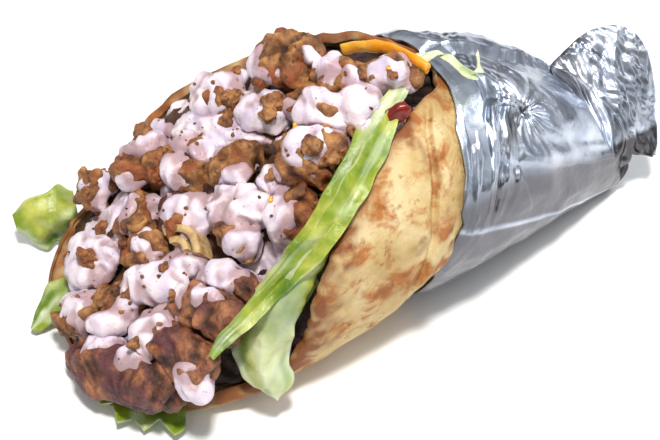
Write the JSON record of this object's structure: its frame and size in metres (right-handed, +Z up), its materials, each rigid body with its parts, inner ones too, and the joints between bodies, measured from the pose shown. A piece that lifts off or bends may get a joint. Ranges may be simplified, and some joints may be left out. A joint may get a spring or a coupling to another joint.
{
  "type": "gyro wrap",
  "caption": "Folded pita filled with sliced grilled meat, yogurt sauce, lettuce and onion, its rear half wrapped in crumpled foil with a pinched tail.",
  "frame": {"origin": "on the table, under the middle of the whole wrap's box", "axes": "+X from the open mouth towards the foil's pinched tail, +Z up; -Y is the side whose pita shows"},
  "size_m": [0.2136, 0.105, 0.0892],
  "materials": {
    "foil": "crumpled kitchen foil, bright and finely creased",
    "pita_bread": "soft baked flatbread, tan with orange-brown griddle marks",
    "packed_filling": "packed filling seen between the pieces, dark and moist",
    "grilled_meat": "browned fibrous meat with a crusty edge",
    "yogurt_sauce": "thick glossy cream sauce",
    "lettuce": "thin moist leaf, pale at the rib",
    "pepper": "shiny cooked pepper skin",
    "onion": "soft translucent onion",
    "tomato": "wet tomato flesh"
  },
  "bodies": {
    "root": {"filling_core": "packed_filling", "foil_wrap": "foil", "lettuce_corner_leaf": "lettuce", "lettuce_front_leaf": "lettuce", "lettuce_inner_leaf": "lettuce", "lettuce_lip_leaf": "lettuce", "lettuce_side_leaf": "lettuce", "meat_centre_large_piece": "grilled_meat", "meat_centre_piece": "grilled_meat", "meat_curled_piece": "grilled_meat", "meat_dark_slice": "grilled_meat", "meat_far_left_piece": "grilled_meat", "meat_front_slice": "grilled_meat", "meat_left_large_piece": "grilled_meat", "meat_left_slice": "grilled_meat", "meat_long_piece": "grilled_meat", "meat_lower_dome": "grilled_meat", "meat_lower_right_piece": "grilled_meat", "meat_lower_slice": "grilled_meat", "meat_middle_piece": "grilled_meat", "meat_right_slice": "grilled_meat", "meat_top_piece": "grilled_meat", "meat_top_right_piece": "grilled_meat", "meat_under_dome": "grilled_meat", "meat_upper_dome": "grilled_meat", "meat_upper_left_piece": "grilled_meat", "meat_upper_right_piece": "grilled_meat", "onion_slice": "onion", "pepper_strip": "pepper", "pita": "pita_bread", "sauce_left_pool": "yogurt_sauce", "sauce_lower_pool": "yogurt_sauce", "sauce_middle_pool": "yogurt_sauce", "sauce_right_pool": "yogurt_sauce", "sauce_upper_pool": "yogurt_sauce", "tomato_slice": "tomato"}
  },
  "joints": []
}
